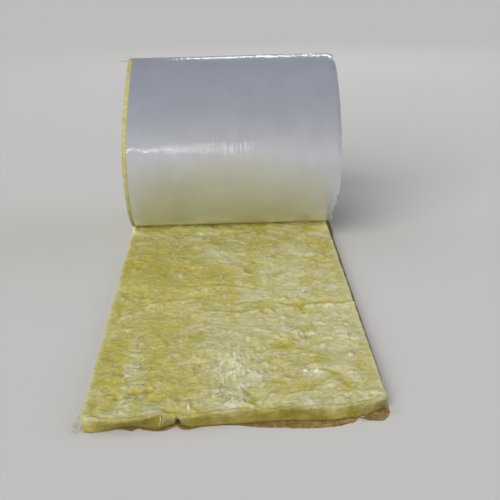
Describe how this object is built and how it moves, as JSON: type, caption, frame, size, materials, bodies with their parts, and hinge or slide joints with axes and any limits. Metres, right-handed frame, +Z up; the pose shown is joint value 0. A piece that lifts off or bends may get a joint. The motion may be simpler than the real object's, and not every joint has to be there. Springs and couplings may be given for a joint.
{
  "type": "insulation roll",
  "caption": "Glass wool insulation blanket with a foil and kraft facing, wound into a roll that lies on its side, with its last stretch unrolled flat on the floor.",
  "frame": {"origin": "middle of the whole object's footprint, on the floor", "axes": "+X along the roll, towards the end with the side tab; +Y from the laid stretch's cut end towards the roll; +Z up"},
  "size_m": [1.262, 2.8942, 1.068],
  "materials": {
    "glass_wool": "soft matt fibre",
    "foil_facing": "satin foil on kraft paper"
  },
  "bodies": {
    "root": {"wool_blanket": "glass_wool", "foil_facing": "foil_facing"}
  },
  "joints": []
}
